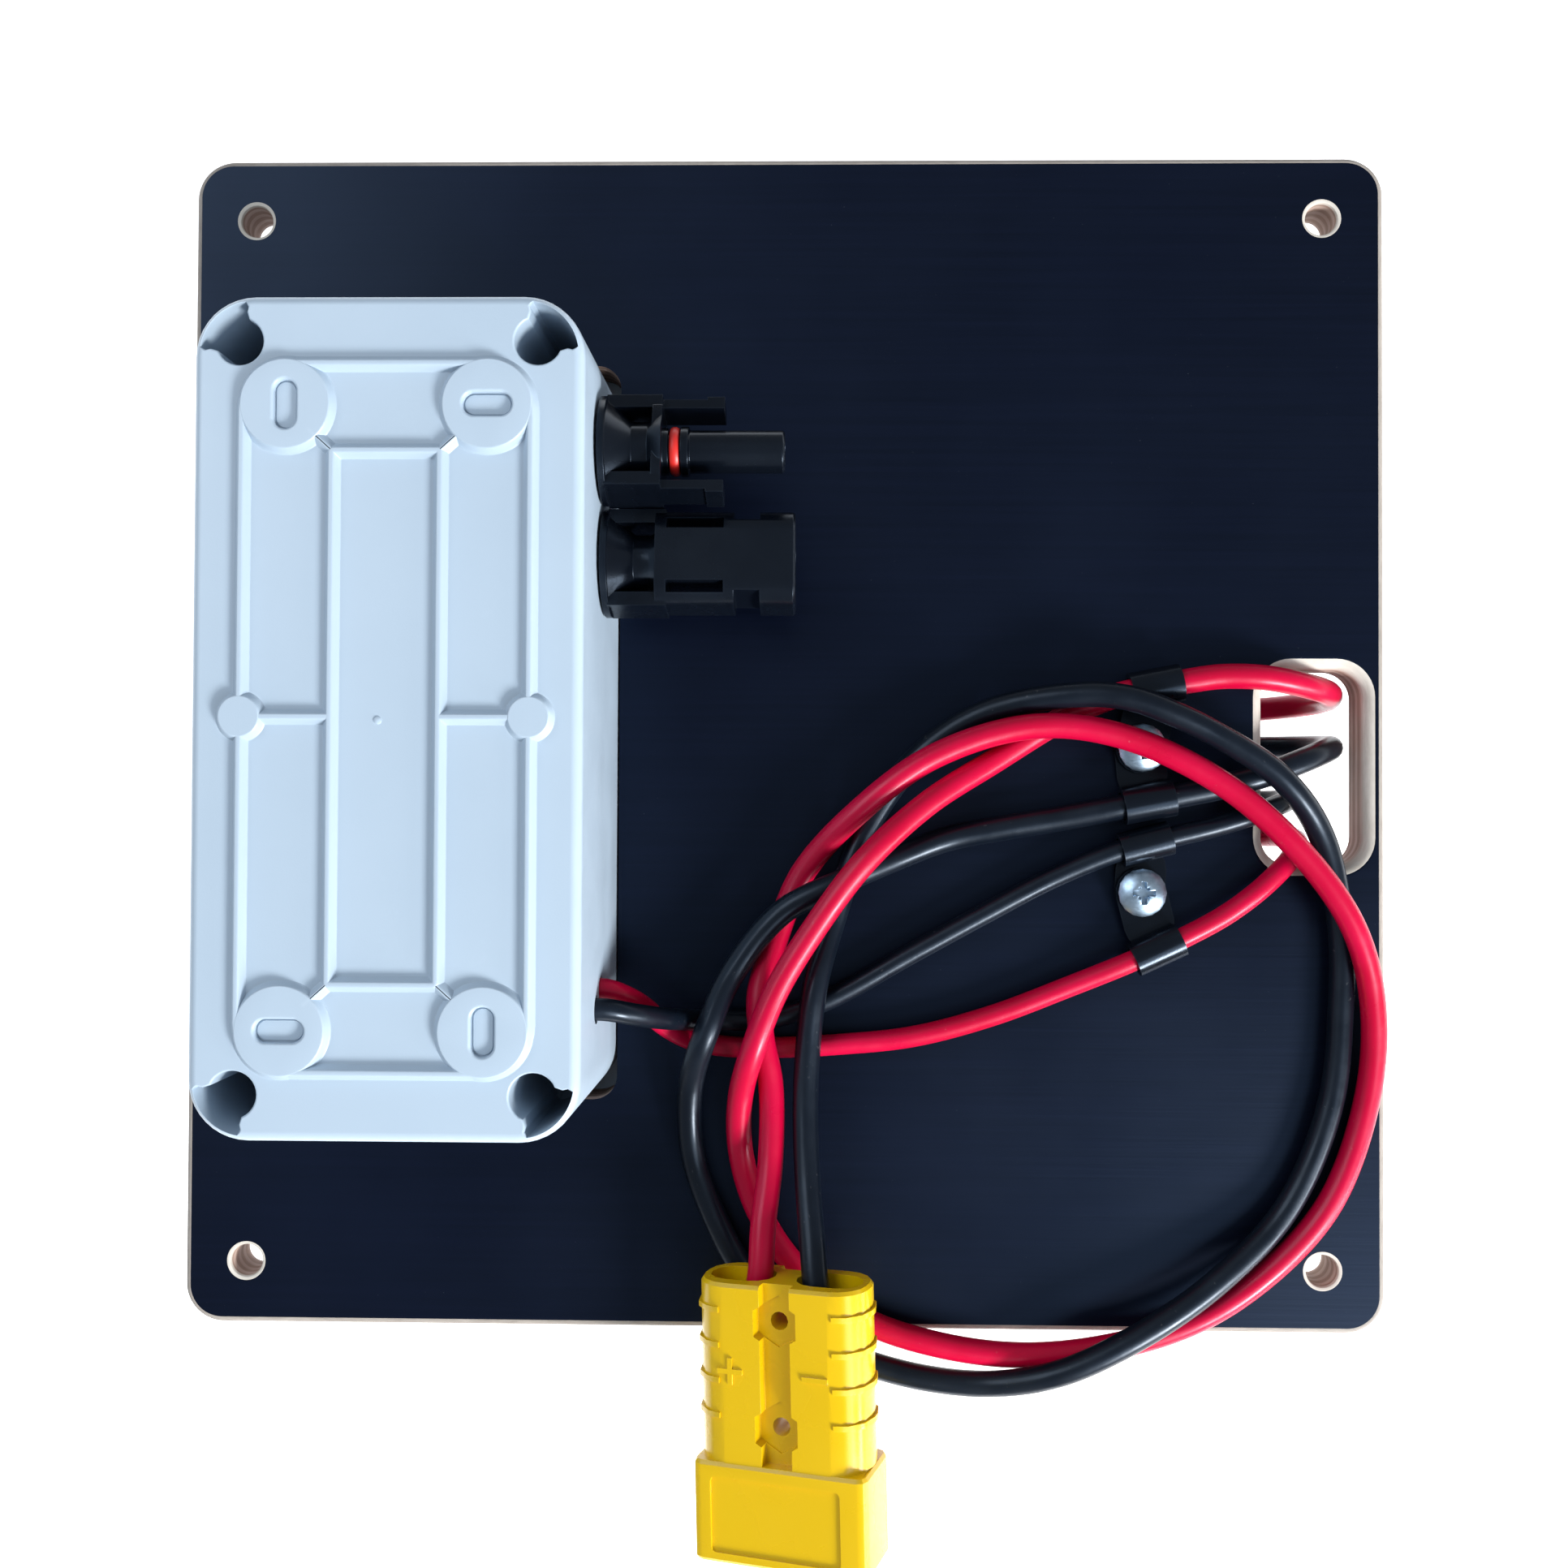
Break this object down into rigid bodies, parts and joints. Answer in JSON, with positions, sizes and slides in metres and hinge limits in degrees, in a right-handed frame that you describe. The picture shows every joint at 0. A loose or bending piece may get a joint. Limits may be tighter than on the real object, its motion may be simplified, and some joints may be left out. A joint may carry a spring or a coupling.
{
  "type": "solar regulator board",
  "caption": "Plywood board seen from its back with a breaker box, panel connectors, wire clips, a regulator in front, leads and a two-pole battery plug.",
  "frame": {"origin": "under the centre of the board, on the surface that the box cover and the regulator rest on", "axes": "+X along the board's long side, towards the lead slot; +Y up the board, away from the plug; +Z out of the board's back, towards the viewer"},
  "size_m": [0.25, 0.2835, 0.102],
  "materials": {
    "board_film": "phenolic film on plywood, satin, fine lines across",
    "grey_plastic": "moulded, fine satin, cool light grey",
    "clear_plastic": "tinted and glossy",
    "black_plastic": "moulded, semi-gloss",
    "black_insulation": "smooth lead sheath, soft sheen",
    "red_insulation": "smooth lead sheath, soft sheen",
    "red_rubber": "smooth",
    "black_rubber": "dull",
    "yellow_plastic": "moulded, glossy",
    "zinc_steel": "bright zinc plating",
    "plated_copper": "tinned copper",
    "aluminium": "bare sheet",
    "white_plastic": "moulded, satin",
    "green_laminate": "coated circuit laminate",
    "dark_plastic": "moulded, fine texture",
    "blue_plastic": "moulded, satin"
  },
  "bodies": {
    "board": {"mounting_board": "board_film", "enclosure_base": "grey_plastic", "enclosure_cover": "grey_plastic", "cover_seal": "black_rubber", "male_connector_seal": "black_rubber", "female_connector_seal": "black_rubber", "status_window": "clear_plastic", "door_hinge_pin": "zinc_steel", "cover_screw_1": "zinc_steel", "cover_screw_2": "zinc_steel", "cover_screw_3": "zinc_steel", "cover_screw_4": "zinc_steel", "flange_screw_1": "zinc_steel", "flange_screw_2": "zinc_steel", "flange_screw_3": "zinc_steel", "flange_screw_4": "zinc_steel", "din_rail": "zinc_steel", "rail_screw_1": "zinc_steel", "rail_screw_2": "zinc_steel", "clip_screw_1": "zinc_steel", "clip_screw_2": "zinc_steel", "regulator_screw_1": "zinc_steel", "regulator_screw_2": "zinc_steel", "regulator_screw_3": "zinc_steel", "regulator_screw_4": "zinc_steel", "terminal_screw_1": "zinc_steel", "terminal_screw_2": "zinc_steel", "terminal_screw_3": "zinc_steel", "terminal_screw_4": "zinc_steel", "breaker_body": "white_plastic", "male_connector_body": "black_plastic", "male_connector_nut": "black_plastic", "female_connector_body": "black_plastic", "female_connector_nut": "black_plastic", "p_clip_1": "black_plastic", "p_clip_2": "black_plastic", "p_clip_3": "black_plastic", "p_clip_4": "black_plastic", "terminal_block": "black_plastic", "male_connector_pin": "plated_copper", "female_connector_socket": "plated_copper", "plug_contact_positive": "plated_copper", "plug_contact_negative": "plated_copper", "male_connector_o_ring": "red_rubber", "battery_lead_positive": "red_insulation", "solar_lead_positive": "red_insulation", "inlet_lead_positive": "red_insulation", "battery_lead_negative": "black_insulation", "solar_lead_negative": "black_insulation", "inlet_lead_negative": "black_insulation", "plug_housing": "yellow_plastic", "regulator_back_plate": "aluminium", "regulator_cover": "dark_plastic", "circuit_board": "green_laminate"},
    "door": {"enclosure_door": "clear_plastic"},
    "lever": {"breaker_toggle": "blue_plastic"},
    "rail_catch": {"breaker_din_clip": "black_plastic"}
  },
  "joints": [
    {"name": "enclosure_door_hinge", "type": "hinge", "parent": "board", "child": "door", "pos_m": [-0.0987, 0.0017, 0.0024], "axis": [0, 1, 0], "range_deg": [0, 105]},
    {"name": "breaker_lever_hinge", "type": "hinge", "parent": "board", "child": "lever", "pos_m": [-0.0705, 0.0017, 0.0245], "axis": [1, 0, 0], "range_deg": [-80, 0]},
    {"name": "breaker_catch_slide", "type": "slide", "parent": "board", "child": "rail_catch", "axis": [0, -1, 0], "range_m": [0, 0.004]}
  ]
}
